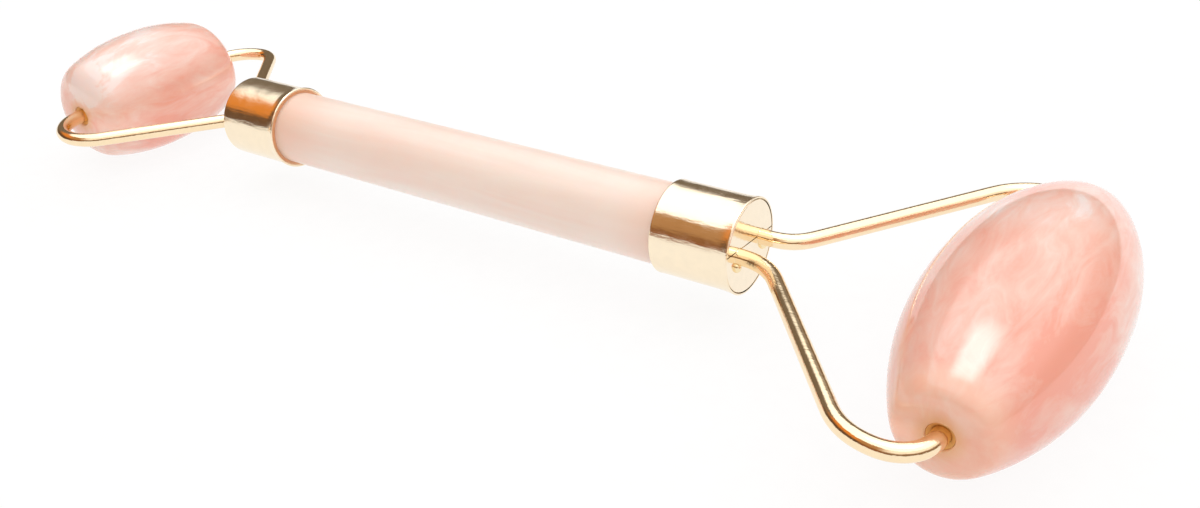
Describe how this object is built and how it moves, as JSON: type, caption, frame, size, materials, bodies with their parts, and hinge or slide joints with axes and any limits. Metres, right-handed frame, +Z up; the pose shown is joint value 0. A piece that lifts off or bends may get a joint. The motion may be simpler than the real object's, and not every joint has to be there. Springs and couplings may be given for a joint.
{
  "type": "facial massage roller",
  "caption": "Double-ended face massage roller: a polished rose quartz bar with gold ferrules and wire forks that carry a large and a small barrel-shaped stone roller.",
  "frame": {"origin": "middle of the footprint, on the surface that the two barrels lie on", "axes": "+X along the handle towards the large roller, +Y along the roller axes, +Z up"},
  "size_m": [0.1458, 0.0542, 0.0195],
  "materials": {
    "quartz_bar": "satin polished pale rose quartz with faint lengthwise bands",
    "quartz_roller": "polished salmon-pink rose quartz, cloudy and slightly translucent",
    "gold_ferrule": "polished pale gold plating",
    "gold_plate": "polished pale gold plating, nearly a mirror",
    "gold_wire": "polished gold-plated drawn wire",
    "solder": "gold-plated solder, slightly uneven",
    "brass_bush": "bare brass tube, satin",
    "resin": "cured casting resin, hidden inside the ferrule"
  },
  "bodies": {
    "handle": {"handle_bar": "quartz_bar", "large_ferrule": "gold_ferrule", "large_end_plate": "gold_plate", "large_resin_bed": "resin", "large_fork_left_arm": "gold_wire", "large_solder_left": "solder", "large_fork_right_arm": "gold_wire", "large_solder_right": "solder", "small_ferrule": "gold_ferrule", "small_end_plate": "gold_plate", "small_resin_bed": "resin", "small_fork_left_arm": "gold_wire", "small_solder_left": "solder", "small_fork_right_arm": "gold_wire", "small_solder_right": "solder"},
    "large_roller_body": {"large_roller": "quartz_roller", "large_roller_bush_left": "brass_bush", "large_roller_bush_right": "brass_bush"},
    "small_roller_body": {"small_roller": "quartz_roller", "small_roller_bush_left": "brass_bush", "small_roller_bush_right": "brass_bush"}
  },
  "joints": [
    {"name": "large_roller_spin", "type": "hinge", "parent": "handle", "child": "large_roller_body", "pos_m": [0.0632, -0.0005, 0.00975], "axis": [0, 1, 0], "continuous": true},
    {"name": "small_roller_spin", "type": "hinge", "parent": "handle", "child": "small_roller_body", "pos_m": [-0.06445, -0.00115, 0.0085], "axis": [0, 1, 0], "continuous": true}
  ]
}
